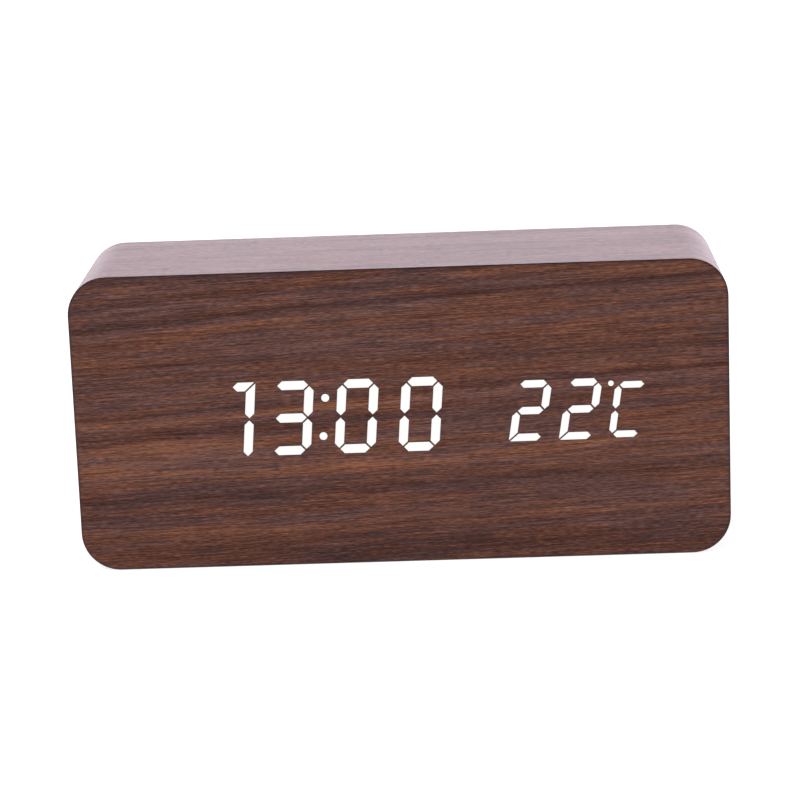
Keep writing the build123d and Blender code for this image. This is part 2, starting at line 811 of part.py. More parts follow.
def button_cap(x):
    """Oblong push button, kept behind the cover by a lip, with a stem that meets its switch."""
    lip_back_y = cover_inner_y - button_float
    lip_face_y = lip_back_y - button_lip_thickness
    cap_y = cover_face_y + button_proud
    place = Pos(x, button_z)
    cap = prism(place * oblong(button_length, button_width), lip_back_y, cap_y)
    cap = chamfer(cap.faces().sort_by(Axis.Y)[-1].outer_wire().edges(), button_bevel)
    lip = oblong(button_length + 2 * button_lip, button_width + 2 * button_lip)
    cap += prism(place * lip, lip_face_y, lip_back_y)
    return cap + faceted_rod(x, button_z, button_stem, switch_top_y + plunger_proud, lip_face_y)


def switch_plunger(x):
    """Round plunger of a switch, under the button's stem."""
    foot_y = switch_top_y - plunger_depth
    return faceted_rod(x, button_z, plunger_diameter, foot_y, switch_top_y + plunger_proud)


def button_switches():
    """Switch housings on the control board, each bored for its plunger."""
    bore = plunger_diameter + 2 * plunger_gap
    bore_end_y = switch_top_y - plunger_depth - button_travel - plunger_foot_gap
    made = []
    for x in button_xs:
        housing = prism(Pos(x, button_z) * Rectangle(switch_size, switch_size), board_back_y, switch_top_y)
        made.append(housing - faceted_rod(x, button_z, bore, bore_end_y, switch_top_y + overrun))
    return made


def control_board():
    """Circuit board behind the buttons, screwed to the cover's bosses."""
    outline = Pos(board_x, middle_z) * RectangleRounded(board_width, board_height, board_corner)
    board = prism(outline, board_face_y, board_back_y)
    hole = board_screw.shank + 2 * screw_clearance
    for x, z in boss_places:
        board -= faceted_rod(x, z, hole, board_face_y - overrun, board_back_y + overrun)
    return board


def dc_jack():
    """Power inlet: a square body on the board with a round barrel through the cover."""
    x, z = on_board(jack_place_shares)
    shoulder_y = cover_inner_y - jack_step
    jack = prism(Pos(x, z) * Rectangle(jack_body, jack_body), board_back_y, shoulder_y)
    jack += rod(x, z, jack_barrel, shoulder_y, cover_face_y)
    return jack - rod(x, z, jack_bore, cover_face_y - jack_bore_depth, cover_face_y + overrun)


def dc_jack_pin():
    """Centre pin of the inlet, with a bevelled tip."""
    x, z = on_board(jack_place_shares)
    foot_y = cover_face_y - jack_bore_depth
    pin = rod(x, z, jack_pin, foot_y, foot_y + jack_pin_length)
    return chamfer(pin.edges().filter_by(GeomType.CIRCLE).sort_by(Axis.Y)[-1], jack_pin_bevel)


def buzzer():
    """Round alarm buzzer with a mouth that faces the cover's sound holes."""
    x, z = on_board(buzzer_place_shares)
    top_y = cover_inner_y - buzzer_cover_gap
    body = faceted_rod(x, z, buzzer_diameter, board_back_y, top_y, round_sides)
    return body - faceted_rod(x, z, buzzer_mouth, top_y - buzzer_mouth_depth, top_y + overrun)


def microphone():
    """Capsule that hears a clap or a voice through its hole in the cover."""
    x, z = on_board(mic_place_shares)
    return faceted_rod(x, z, mic_diameter, board_back_y, board_back_y + mic_height, round_sides)


def temperature_sensor():
    """Bead on two leads, in the air of the cover's vents."""
    x, z = on_board(sensor_place_shares)
    bead_y = board_back_y + sensor_lead_length
    sensor = faceted_rod(x, z, sensor_bead, bead_y, bead_y + sensor_bead_length)
    for side in (-1, 1):
        sensor += faceted_rod(x + side * sensor_lead_spread / 2, z, sensor_lead, board_back_y, bead_y)
    return sensor


def controller_chip():
    """Clock controller on the inner side of the board."""
    x, z = on_board(controller_place_shares)
    body = Rectangle(controller_size, controller_size)
    return prism(Pos(x, z) * body, board_face_y - controller_height, board_face_y)


def clock_crystal():
    """Crystal can, lying on the board."""
    x, z = on_board(crystal_place_shares)
    can = Cylinder(crystal_diameter / 2, crystal_length)
    return Pos(x, board_face_y - crystal_diameter / 2, z) * can


def cell_holder():
    """Round holder of the coin cell, with a thumb gap in its wall."""
    x, z = on_board(holder_place_shares)
    inner = coin_diameter + 2 * coin_gap
    front_y = board_face_y - holder_floor - coin_height
    holder = faceted_rod(x, z, inner + 2 * holder_wall, front_y, board_face_y, round_sides)
    holder -= faceted_rod(x, z, inner, front_y - overrun, board_face_y - holder_floor, round_sides)
    gap = Pos(x, z) * Rectangle(inner, coin_diameter / 2, align=(Align.MIN, Align.CENTER))
    return holder - prism(gap, front_y - overrun, board_face_y - holder_floor)


def backup_cell():
    """Coin cell that keeps the time while the power is off."""
    x, z = on_board(holder_place_shares)
    seat_y = board_face_y - holder_floor
    return faceted_rod(x, z, coin_diameter, seat_y - coin_height, seat_y, round_sides)


# Wiring

def cable_ends():
    """Middles of the two cable connectors: on the lamp board and on the control board."""
    x, z = on_board(connector_place_shares)
    return x, z + cable_drop_share * board_height, z


def cable_connectors():
    """Header housings on the two boards."""
    x, lamp_z, control_z = cable_ends()
    body = Rectangle(connector_length, connector_width)
    lamp_end = prism(Pos(x, lamp_z) * body, lamp_board_back_y, lamp_board_back_y + connector_height)
    control_end = prism(Pos(x, control_z) * body, board_face_y - connector_height, board_face_y)
    return [lamp_end, control_end]


def display_cable():
    """Flat cable between the two boards, with one step down."""
    x, lamp_z, control_z = cable_ends()
    start_y = lamp_board_back_y + connector_height
    end_y = board_face_y - connector_height
    half_y = (start_y + end_y) / 2
    line = FilletPolyline(
        (x, start_y, lamp_z),
        (x, half_y, lamp_z),
        (x, half_y, control_z),
        (x, end_y, control_z),
        radius=cable_bend_share * (end_y - start_y) / 2,
    )
    start = Plane(origin=line @ 0, x_dir=(1, 0, 0), z_dir=line % 0)
    return sweep(start * Rectangle(cable_width, cable_thickness), path=line)


def battery_lead(z):
    """Wire from an end contact's tail to the control board."""
    start_x = bay_right_x - contact_thickness / 2
    start_y = bay_front_y - contact_tail_length
    end_x = board_left_x + lead_pad_inset
    low_y = start_y - lead_dip
    line = FilletPolyline(
        (start_x, start_y, z),
        (start_x, low_y, z),
        (end_x, low_y, z),
        (end_x, board_face_y, z),
        radius=lead_bend,
    )
    start = Plane(origin=line @ 0, z_dir=line % 0)
    return sweep(start * RegularPolygon(lead_diameter / 2, lead_sides), path=line)


# Every node and its solids

nodes = {
    "case_shell": case_shell(),
    "front_veneer": front_veneer(),
    "side_veneer": side_veneer(),
    "base_veneer": base_veneer(),
    "rear_veneer": rear_veneer(),
    "reflector_block": reflector_block(),
    "time_segment_lenses": segment_lenses(time_wells, colon_faces),
    "temp_segment_lenses": segment_lenses(temp_wells, [degree_face]),
    "lamp_board": lamp_board(),
    "lamps": lamps(),
    "display_screws": screws_facing_back(display_screw, display_screw_places, flange_back_y),
    "rear_cover": rear_cover(),
    "rear_cover_screws": screws_facing_back(cover_screw, cover_screw_places, cover_face_y),
    "battery_door": battery_door(),
    "battery_cells": cells(),
    "contact_plates": contact_plates(),
    "contact_springs": contact_springs(),
    "control_board": control_board(),
    "board_screws": screws_facing_front(board_screw, boss_places, board_face_y),
    "button_switches": button_switches(),
    "dc_jack": dc_jack(),
    "dc_jack_pin": dc_jack_pin(),
    "buzzer": buzzer(),
    "microphone": microphone(),
    "temperature_sensor": temperature_sensor(),
    "controller_chip": controller_chip(),
    "clock_crystal": clock_crystal(),
    "cell_holder": cell_holder(),
    "backup_cell": backup_cell(),
    "cable_connectors": cable_connectors(),
    "display_cable": display_cable(),
    "positive_lead": battery_lead(cell_zs[0]),
    "negative_lead": battery_lead(cell_zs[-1]),
}
for name, faces in lit_faces.items():
    nodes[name] = lit_strokes(faces)
for name, x in zip(button_names, button_xs):
    nodes[f"{name}_button"] = button_cap(x)
    nodes[f"{name}_plunger"] = switch_plunger(x)

os.makedirs("parts", exist_ok=True)
for name, shape in nodes.items():
    solids = shape if isinstance(shape, list) else [shape]
    group = Compound(label=name, children=[solid for piece in solids for solid in piece.solids()])
    export_step(group, f"parts/{name}.step")
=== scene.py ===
import json
from collections import namedtuple
from math import radians

import bpy
from mathutils import Matrix, Vector


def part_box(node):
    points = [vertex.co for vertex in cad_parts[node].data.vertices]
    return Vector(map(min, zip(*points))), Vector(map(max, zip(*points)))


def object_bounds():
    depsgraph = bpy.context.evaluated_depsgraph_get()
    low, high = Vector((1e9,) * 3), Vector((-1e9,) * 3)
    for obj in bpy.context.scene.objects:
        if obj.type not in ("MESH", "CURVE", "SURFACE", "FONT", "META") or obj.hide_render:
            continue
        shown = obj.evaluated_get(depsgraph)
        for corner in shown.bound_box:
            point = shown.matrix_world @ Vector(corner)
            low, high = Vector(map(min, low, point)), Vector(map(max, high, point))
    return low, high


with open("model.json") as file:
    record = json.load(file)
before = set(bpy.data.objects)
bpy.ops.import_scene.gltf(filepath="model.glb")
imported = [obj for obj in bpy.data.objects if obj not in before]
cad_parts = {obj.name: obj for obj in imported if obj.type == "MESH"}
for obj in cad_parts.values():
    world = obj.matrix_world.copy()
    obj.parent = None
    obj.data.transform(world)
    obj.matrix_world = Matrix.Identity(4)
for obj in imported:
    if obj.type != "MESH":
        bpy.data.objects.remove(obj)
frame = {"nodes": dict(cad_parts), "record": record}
cad_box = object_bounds()

# Lengths are metres, and the small ones are written as millimetres times MM
MM = 0.001


def srgb(red, green, blue):
    """Linear colour with full opacity, from sRGB values of 0 to 255."""
    def linear(value):
        share = value / 255
        return share / 12.92 if share <= 0.04045 else ((share + 0.055) / 1.055) ** 2.4
    return (linear(red), linear(green), linear(blue), 1.0)


def scaled_colour(colour, scale, lift=0.0):
    """A colour made paler or darker, with full opacity."""
    return [min(1.0, scale * part + lift) for part in colour[:3]] + [1.0]


white = srgb(255, 255, 255)

# Camera: where it stands round the clock, how far off, and how much it leans
view_azimuth = 1.504
view_elevation = 13.388
view_roll = -2.154
view_distance = 694.9 * MM
view_target = Vector((-0.75 * MM, 0.0, 33.58 * MM))
view_lens = 130.6
sensor_width = 36.0

# Floor: its grey is a linear colour, and its glow shows only to the camera and in reflections
floor_size = 6.0
floor_drop = 0.2 * MM
floor_grey = (0.5, 0.5, 0.5, 1.0)
floor_fleck = 3 * MM
floor_fleck_scale = 0.98
floor_glow = 0.78

# Surroundings: in reflections, a dim room in front of the clock turns into a white sweep behind it. The
# limits say how far back a ray points, from -1 to 1, where that change starts and ends.
ambient_strength = 0.55
front_reflection = 0.06
sweep_limits = (-0.5, 0.2)
reflection_tint = srgb(252, 241, 251)

# Soft boxes: place and size in metres, power in watts
SoftBox = namedtuple("SoftBox", "name place size power colour")
soft_boxes = [
    SoftBox("key_box", (-0.55, -0.95, 1.05), (0.9, 0.7), 14.4, srgb(255, 252, 247)),
    SoftBox("fill_box", (0.9, -0.8, 0.55), (0.7, 0.7), 5.0, srgb(250, 251, 255)),
    SoftBox("rear_box", (0.0, 0.95, 0.22), (1.6, 0.44), 3.45, srgb(253, 243, 254)),
]

# Case sizes that the film's grain is laid out on
case_low, case_high = cad_box
half_width = (case_high.x - case_low.x) / 2
half_height = (case_high.z - case_low.z) / 2
middle_height = (case_high.z + case_low.z) / 2
corner_radius = half_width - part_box("base_veneer")[1].x
flat_x = half_width - corner_radius
flat_z = half_height - corner_radius
face_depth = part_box("front_veneer")[0].y


class Shader:
    """A material's node tree, with short ways to add and join nodes."""

    def __init__(self, name):
        self.material = bpy.data.materials.new(name)
        self.material.use_nodes = True
        self.tree = self.material.node_tree
        self.surface = self.tree.nodes["Principled BSDF"]

    def add(self, kind, inputs, output=0, **settings):
        """Add a node and return one of its outputs. An input is a plain value or another node's socket."""
        node = self.tree.nodes.new(kind)
        for key, value in settings.items():
            setattr(node, key, value)
        for key, value in inputs.items():
            self.join(node.inputs[key], value)
        return node.outputs[output]

    def join(self, socket, value):
        """Link a socket to another one, or give it a plain value."""
        if isinstance(value, bpy.types.NodeSocket):
            self.tree.links.new(value, socket)
        else:
            socket.default_value = value

    def set(self, **inputs):
        """Set or link inputs of the surface, named with underscores for spaces."""
        for key, value in inputs.items():
            self.join(self.surface.inputs[key.replace("_", " ")], value)

    def math(self, operation, first, second=0.0):
        return self.add("ShaderNodeMath", {0: first, 1: second}, operation=operation)

    def minus(self, first, second):
        return self.math("SUBTRACT", first, second)

    def times(self, first, second):
        return self.math("MULTIPLY", first, second)

    def over(self, first, second):
        return self.math("DIVIDE", first, second)

    def square(self, value):
        return self.times(value, value)

    def total(self, *values):
        result = values[0]
        for value in values[1:]:
            result = self.math("ADD", result, value)
        return result

    def split(self, vector):
        """The x, y and z of a vector."""
        parts = self.tree.nodes.new("ShaderNodeSeparateXYZ")
        self.join(parts.inputs[0], vector)
        return tuple(parts.outputs)

    def place(self):
        """The point's x, y and z in the shared frame."""
        return self.split(self.add("ShaderNodeTexCoord", {}, output="Object"))

    def noise(self, sizes, places, seed, detail=2.0, roughness=0.5):
        """Noise that is stretched to a size along each of two or three places."""
        scaled = [self.over(place, size) for place, size in zip(places, sizes)]
        if len(scaled) == 2:
            scaled.append(seed)
        else:
            scaled[0] = self.total(scaled[0], seed)
        vector = self.add("ShaderNodeCombineXYZ", dict(enumerate(scaled)))
        inputs = {"Vector": vector, "Scale": 1.0, "Detail": detail, "Roughness": roughness}
        return self.add("ShaderNodeTexNoise", inputs)

    def even_noise(self, size, seed, detail=2.0):
        """Noise of one size in all directions."""
        return self.noise((size, size, size), self.place(), seed, detail)

    def smooth(self, value, low, high, bottom=0.0, top=1.0):
        """Smooth step from bottom to top, as a value goes from low to high."""
        inputs = {"Value": value, 1: low, 2: high, 3: bottom, 4: top}
        return self.add("ShaderNodeMapRange", inputs, interpolation_type="SMOOTHSTEP")

    def span(self, value, bottom, top):
        """Straight map of a value from 0 to 1 on to a span."""
        return self.add("ShaderNodeMapRange", {"Value": value, 3: bottom, 4: top})

    def mix(self, share, first, second):
        """Mix of two colours, the second one by its share."""
        node = self.tree.nodes.new("ShaderNodeMix")
        node.data_type = "RGBA"
        self.join(node.inputs["Factor"], share)
        self.join(node.inputs["A"], first)
        self.join(node.inputs["B"], second)
        return node.outputs["Result"]

    def ramp(self, value, stops):
        """Colour along a row of stops, each a position and a colour."""
        node = self.tree.nodes.new("ShaderNodeValToRGB")
        elements = node.color_ramp.elements
        while len(elements) < len(stops):
            elements.new(1.0)
        for element, (position, colour) in zip(elements, stops):
            element.position = position
            element.color = colour
        self.join(node.inputs[0], value)
        return node.outputs[0]

    def bump(self, height, depth, strength):
        return self.add("ShaderNodeBump", {"Height": height, "Distance": depth, "Strength": strength})


class WorldShader(Shader):
    """The same short ways for the world's node tree."""

    def __init__(self, world):
        world.use_nodes = True
        self.tree = world.node_tree
        self.surface = self.tree.nodes["Background"]


# Wood-grain film

# Kinds of grain: sizes along and across the fibres, what is added to the film's seed, and the noise's detail
# and roughness
Grain = namedtuple("Grain", "sizes seed detail roughness", defaults=(0.5,))
sway_grain = Grain((120 * MM, 22 * MM), 0.0, 1.0)
band_grain = Grain((190 * MM, 6.5 * MM), 3.1, 3.0)
line_grain = Grain((70 * MM, 1.5 * MM), 7.7, 3.0, 0.6)
fibre_grain = Grain((10 * MM, 0.28 * MM), 11.3, 2.0, 0.6)
dash_grain = Grain((1.7 * MM, 0.18 * MM), 13.9, 1.0)
pore_grain = Grain((13 * MM, 0.32 * MM), 17.9, 1.0)
blotch_grain = Grain((26 * MM, 2.2 * MM), 23.5, 2.0)
noise_middle = 0.5

# How far the grain sways to and fro, and how much the coarse and the fine grain rise along the film
sway_reach = 2.2 * MM
coarse_rise = 0.058
fine_rise = 0.034

# Tone of bare film, and the share of each kind of grain in it
middle_tone = 0.5
streak_share = 0.82
band_share = 0.3
line_share = 0.38
fibre_share = 1.2
dash_share = 1.3

# Walnut browns of the warm and the cool patches, from the darkest tone to the lightest, and the levels of the
# blotches between which cool turns to warm
warm_browns = [
    (0.0, srgb(52, 29, 23)),
    (0.34, srgb(80, 49, 40)),
    (0.5, srgb(96, 61, 48)),
    (0.66, srgb(111, 72, 55)),
    (1.0, srgb(143, 94, 68)),
]
cool_browns = [
    (0.0, srgb(47, 31, 29)),
    (0.34, srgb(72, 49, 46)),
    (0.5, srgb(85, 60, 56)),
    (0.66, srgb(99, 69, 63)),
    (1.0, srgb(128, 91, 77)),
]
warm_limits = (0.36, 0.62)

# Dark pores: the levels of their noise between which they open, and how much of their brown shows
pore_limits = (0.56, 0.68)
pore_depth = 0.5
pore_brown = srgb(46, 30, 30)

# Finish: roughness of the darkest and the lightest tone, gloss, sheen, and relief of the fibres
film_satin = (0.5, 0.3)
face_gloss = 0.12
wrap_satin = (0.435, 0.265)
wrap_gloss = 0.12
wrap_sheen = 0.28
wrap_sheen_spread = 0.2
wrap_sheen_tint = srgb(240, 228, 250)
relief_depth = 0.03 * MM
relief_strength = 0.35

# Painted shade along the edge of the face, and the dark cut of the film round it, partly the film's own dark
# edge and partly painted shade, by its depth behind the face
edge_shade_reach = 0.9 * MM
edge_shade_depth = 0.6
edge_shade_brown = srgb(44, 28, 31)
cut_start = 0.025 * MM
cut_full = 0.125 * MM
cut_patch_size = 2 * MM
cut_patch_seed = 5.0
cut_patch_span = (0.75, 1.0)
cut_shade_brown = srgb(38, 25, 26)
cut_shade_gloss_tint = srgb(30, 18, 18)

# Seed of the grain on each piece of film
face_seed = 1.0
wrap_seed = 41.0
base_seed = 63.0
rim_seed = 87.0

# Bold streaks of the face: height where it crosses the middle, rise and bend to the right, half-thickness,
# depth of tone, and for a short one the middle and the reach of its length
Streak = namedtuple("Streak", "height rise bend half tone middle length", defaults=(0.0, 1.0))
face_streaks = [
    Streak(62.9 * MM, 0.06, -0.15, 0.75 * MM, -0.38),
    Streak(66.6 * MM, 0.045, 0.0, 0.9 * MM, -0.18, -30 * MM, 45 * MM),
    Streak(69.6 * MM, 0.02, 0.0, 0.8 * MM, -0.2),
    Streak(60.4 * MM, 0.06, 0.0, 0.9 * MM, 0.15, -30 * MM, 60 * MM),
    Streak(57.0 * MM, 0.055, 0.0, 0.5 * MM, -0.14, 40 * MM, 40 * MM),
    Streak(51.8 * MM, 0.05, 0.0, 0.6 * MM, -0.12, -50 * MM, 40 * MM),
    Streak(47.4 * MM, 0.045, 0.0, 0.7 * MM, -0.26, 52 * MM, 34 * MM),
    Streak(42.0 * MM, 0.045, 0.0, 0.6 * MM, -0.24, 66 * MM, 16 * MM),
    Streak(41.0 * MM, 0.058, 0.0, 0.7 * MM, -0.26),
    Streak(38.9 * MM, 0.058, 0.0, 1.0 * MM, 0.2),
    Streak(36.2 * MM, 0.06, 0.0, 1.1 * MM, -0.24, -40 * MM, 62 * MM),
    Streak(31.6 * MM, 0.04, 0.0, 1.6 * MM, 0.2, -55 * MM, 24 * MM),
    Streak(24.0 * MM, 0.02, 0.0, 1.4 * MM, 0.3, 0.0, 34 * MM),
    Streak(25.5 * MM, 0.05, 0.0, 1.3 * MM, 0.22, 45 * MM, 30 * MM),
    Streak(24.6 * MM, 0.04, 0.0, 1.2 * MM, 0.16, -62 * MM, 18 * MM),
    Streak(18.6 * MM, 0.045, 0.1, 1.2 * MM, -0.2),
    Streak(13.6 * MM, 0.03, 0.0, 0.7 * MM, -0.12, -45 * MM, 40 * MM),
    Streak(10.4 * MM, 0.03, 0.0, 0.8 * MM, 0.16, 48 * MM, 34 * MM),
    Streak(10.0 * MM, 0.03, 0.0, 0.9 * MM, 0.2, -38 * MM, 20 * MM),
    Streak(3.6 * MM, 0.01, 0.0, 3.6 * MM, -0.28, 10 * MM, 110 * MM),
    Streak(27.0 * MM, 0.02, 0.0, 3.0 * MM, 0.14, -55 * MM, 30 * MM),
]


def hump(shader, value, reach):
    """Smooth hump, 1 where the value is 0 and fading over the reach."""
    return shader.math("EXPONENT", shader.times(shader.square(shader.over(value, reach)), -1.0))


def streak_tone(shader, streak, along, across):
    """Tone of one bold streak: a soft ridge along a slightly bent line."""
    slope = shader.total(shader.times(along, streak.bend), streak.rise)
    line = shader.total(shader.times(along, slope), streak.height)
    ridge = hump(shader, shader.minus(across, line), streak.half)
    fade = hump(shader, shader.minus(along, streak.middle), streak.length)
    return shader.times(shader.times(ridge, fade), streak_share * streak.tone)


def grain_noise(shader, grain, seed, along, across):
    """Noise of one kind of grain."""
    return shader.noise(grain.sizes, (along, across), seed + grain.seed, grain.detail, grain.roughness)


def weighted(shader, noise, share):
    """A noise about its middle, times its share."""
    return shader.times(shader.minus(noise, noise_middle), share)


def walnut(shader, along, across, seed, satin=film_satin, streaks=()):
    """Walnut film: swaying bands, lines, fibres, dashes and dark pores, under a satin finish."""
    sway = weighted(shader, grain_noise(shader, sway_grain, seed, along, across), sway_reach)
    swayed = shader.total(across, sway)
    coarse_level = shader.minus(swayed, shader.times(along, coarse_rise))
    fine_level = shader.minus(swayed, shader.times(along, fine_rise))
    bands = grain_noise(shader, band_grain, seed, along, coarse_level)
    lines = grain_noise(shader, line_grain, seed, along, coarse_level)
    blotches = grain_noise(shader, blotch_grain, seed, along, coarse_level)
    fibres = grain_noise(shader, fibre_grain, seed, along, fine_level)
    dashes = grain_noise(shader, dash_grain, seed, along, fine_level)
    pores = grain_noise(shader, pore_grain, seed, along, fine_level)
    tone = shader.total(
        weighted(shader, bands, band_share),
        weighted(shader, lines, line_share),
        weighted(shader, fibres, fibre_share),
        weighted(shader, dashes, dash_share),
        middle_tone,
        *[streak_tone(shader, streak, along, swayed) for streak in streaks],
    )
    warmth = shader.smooth(blotches, *warm_limits)
    browns = shader.mix(warmth, shader.ramp(tone, cool_browns), shader.ramp(tone, warm_browns))
    open_pores = shader.times(shader.smooth(pores, *pore_limits), pore_depth)
    relief = shader.minus(fibres, open_pores)
    shader.set(Roughness=shader.span(tone, *satin))
    shader.set(Normal=shader.bump(relief, relief_depth, relief_strength))
    return shader.mix(open_pores, browns, pore_brown)


def clamped(shader, value, limit):
    """A value held between a limit and its negative."""
    return shader.math("MAXIMUM", shader.math("MINIMUM", value, limit), -limit)


def core_point(shader, x, height):
    """The nearest point of the outline's core, whose corners are the middles of the round corners."""
    return clamped(shader, x, flat_x), clamped(shader, height, flat_z)


def face_film(name):
    """Film on the face, with the bold streaks, painted shade along its edge and a dark cut round it that is
    partly painted shade.
    """
    shader = Shader(name)
    x, y, z = shader.place()
    grain = walnut(shader, x, z, face_seed, streaks=face_streaks)
    height = shader.minus(z, middle_height)
    core_x, core_z = core_point(shader, x, height)
    off_x = shader.minus(x, core_x)
    off_z = shader.minus(height, core_z)
    reach = shader.math("SQRT", shader.total(shader.square(off_x), shader.square(off_z)))
    # Painted shade: the film's colour darkens towards its outline
    shade_near_edge = shader.smooth(reach, corner_radius - edge_shade_reach, corner_radius, top=edge_shade_depth)
    shaded = shader.mix(shade_near_edge, grain, edge_shade_brown)
    # The cut round the face is darkened, partly the film's own dark edge and partly painted shade, unevenly
    # by a noise
    cut_shade_mask = shader.smooth(y, face_depth + cut_start, face_depth + cut_full)
    cut_patches = shader.span(shader.even_noise(cut_patch_size, cut_patch_seed), *cut_patch_span)
    shader.set(Base_Color=shader.mix(shader.times(cut_shade_mask, cut_patches), shaded, cut_shade_brown))
    # Painted shade: the cut's reflections are dimmed by a dark specular tint
    shader.set(Specular_IOR_Level=face_gloss, Specular_Tint=shader.mix(cut_shade_mask, white, cut_shade_gloss_tint))
    return shader.material


def wrap_film(name):
    """Film wrapped over the sides and top: the grain follows the outline round the corners."""
    shader = Shader(name)
    x, y, z = shader.place()
    height = shader.minus(z, middle_height)
    core_x, core_z = core_point(shader, x, height)
    turn = shader.math("ARCTAN2", shader.minus(height, core_z), shader.minus(x, core_x))
    arc = shader.times(shader.minus(radians(90), turn), corner_radius)
    down = shader.times(shader.minus(flat_z, core_z), shader.math("SIGN", core_x))
    along = shader.total(core_x, arc, down)
    shader.set(Base_Color=walnut(shader, along, y, wrap_seed, wrap_satin), Specular_IOR_Level=wrap_gloss)
    shader.set(Sheen_Weight=wrap_sheen, Sheen_Roughness=wrap_sheen_spread, Sheen_Tint=wrap_sheen_tint)
    return shader.material


def base_film(name):
    """Film under the base."""
    shader = Shader(name)
    x, y, _ = shader.place()
    shader.set(Base_Color=walnut(shader, x, y, base_seed))
    return shader.material


def rim_film(name):
    """Film on the rear rim."""
    shader = Shader(name)
    x, _, z = shader.place()
    shader.set(Base_Color=walnut(shader, x, z, rim_seed))
    return shader.material


# Plastics: colour, roughness, and size and depth of the fine texture
Plastic = namedtuple("Plastic", "colour roughness texture depth", defaults=(0.25 * MM, 0.02 * MM))
plastics = {
    "reflector_white": Plastic(srgb(232, 232, 228), 0.5),
    "lamp_chip": Plastic(srgb(232, 214, 120), 0.3),
    "cover_plastic": Plastic(srgb(30, 30, 31), 0.5, 0.3 * MM, 0.05 * MM),
    "button_plastic": Plastic(srgb(38, 38, 39), 0.38, 0.2 * MM, 0.01 * MM),
    "switch_plastic": Plastic(srgb(52, 52, 54), 0.45),
    "jack_plastic": Plastic(srgb(20, 20, 21), 0.25, 0.4 * MM, 0.005 * MM),
    "buzzer_plastic": Plastic(srgb(26, 26, 27), 0.4),
    "sensor_resin": Plastic(srgb(24, 24, 26), 0.22),
    "chip_plastic": Plastic(srgb(30, 30, 32), 0.55),
    "holder_plastic": Plastic(srgb(36, 36, 38), 0.45),
    "connector_plastic": Plastic(srgb(226, 220, 204), 0.42),
    "red_wire": Plastic(srgb(170, 26, 24), 0.4),
    "black_wire": Plastic(srgb(26, 26, 26), 0.4),
}


def plastic(name):
    """Moulded plastic with a fine texture, slight shade changes and uneven gloss."""
    shader = Shader(name)
    look = plastics[name]
    gloss_spread = 0.08
    fine = shader.even_noise(look.texture, seed=2.0)
    clouds = shader.even_noise(size=14 * MM, seed=9.0, detail=3.0)
    mean = shader.over(shader.total(fine, clouds), 2.0)
    pale = scaled_colour(look.colour, scale=1.35, lift=0.004)
    shader.set(Base_Color=shader.mix(mean, look.colour, pale))
    shader.set(Roughness=shader.span(clouds, look.roughness - gloss_spread, look.roughness + gloss_spread))
    shader.set(Normal=shader.bump(fine, look.depth, strength=0.4))
    return shader.material


# Metals: colour and roughness
Metal = namedtuple("Metal", "colour roughness")
metals = {
    "screw_steel": Metal(srgb(186, 186, 188), 0.3),
    "contact_nickel": Metal(srgb(205, 202, 192), 0.22),
    "jack_pin_metal": Metal(srgb(214, 196, 150), 0.2),
    "mic_can": Metal(srgb(196, 197, 198), 0.28),
    "crystal_can": Metal(srgb(200, 201, 202), 0.2),
    "coin_cell": Metal(srgb(200, 200, 200), 0.22),
}
drawn_line_sizes = (0.4 * MM, 0.4 * MM, 0.05 * MM)


def metal(name):
    """Bare metal with fine drawn lines and small tarnish spots."""
    shader = Shader(name)
    look = metals[name]
    smoother = 0.08
    rougher = 0.12
    lines = shader.noise(drawn_line_sizes, shader.place(), seed=4.0)
    spots = shader.even_noise(size=1.6 * MM, seed=13.0, detail=3.0)
    tarnish = shader.smooth(spots, low=0.4, high=0.75)
    dull = scaled_colour(look.colour, scale=0.7)
    shader.set(Base_Color=shader.mix(tarnish, look.colour, dull), Metallic=1.0)
    shader.set(Roughness=shader.span(lines, look.roughness - smoother, look.roughness + rougher))
    shader.set(Normal=shader.bump(lines, depth=0.01 * MM, strength=0.3))
    return shader.material


# Other materials

def fibreboard(name):
    """Pressed fibre with pale and dark flecks."""
    shader = Shader(name)
    dark = srgb(150, 117, 80)
    pale = srgb(206, 176, 134)
    fleck_share = 0.6
    flecks = shader.even_noise(size=0.6 * MM, seed=1.0, detail=4.0)
    clouds = shader.even_noise(size=9 * MM, seed=6.0)
    share = shader.total(shader.times(flecks, fleck_share), shader.times(clouds, 1 - fleck_share))
    shader.set(Base_Color=shader.mix(share, dark, pale))
    shader.set(Roughness=shader.span(flecks, bottom=0.75, top=0.95), Specular_IOR_Level=0.3)
    shader.set(Normal=shader.bump(flecks, depth=0.08 * MM, strength=0.6))
    return shader.material


def lit_stroke(name):
    """White light from the front of a dim lens, the film's grain just showing in it."""
    shader = Shader(name)
    dark_lens = srgb(28, 27, 27)
    pale_lens = srgb(36, 35, 35)
    soft_white = srgb(251, 250, 248)
    full_glow_depth = 0.02 * MM
    no_glow_depth = 0.05 * MM
    x, y, z = shader.place()
    fibres = shader.noise(fibre_grain.sizes, (x, z), seed=12.3)
    shader.set(Base_Color=shader.mix(fibres, dark_lens, pale_lens))
    shader.set(Emission_Color=shader.mix(fibres, soft_white, white))
    glow = shader.smooth(y, face_depth + full_glow_depth, face_depth + no_glow_depth, bottom=1.0, top=0.0)
    shader.set(Emission_Strength=glow, Roughness=0.6, Specular_IOR_Level=0.1)
    return shader.material


def clear_resin(name):
    """Cast resin, cloudy and a little yellow."""
    shader = Shader(name)
    yellow = srgb(246, 240, 218)
    clear = srgb(253, 251, 240)
    clouds = shader.even_noise(size=2 * MM, seed=3.0, detail=3.0)
    shader.set(Base_Color=shader.mix(clouds, yellow, clear))
    shader.set(Transmission_Weight=0.7, Roughness=shader.span(clouds, bottom=0.15, top=0.3))
    return shader.material


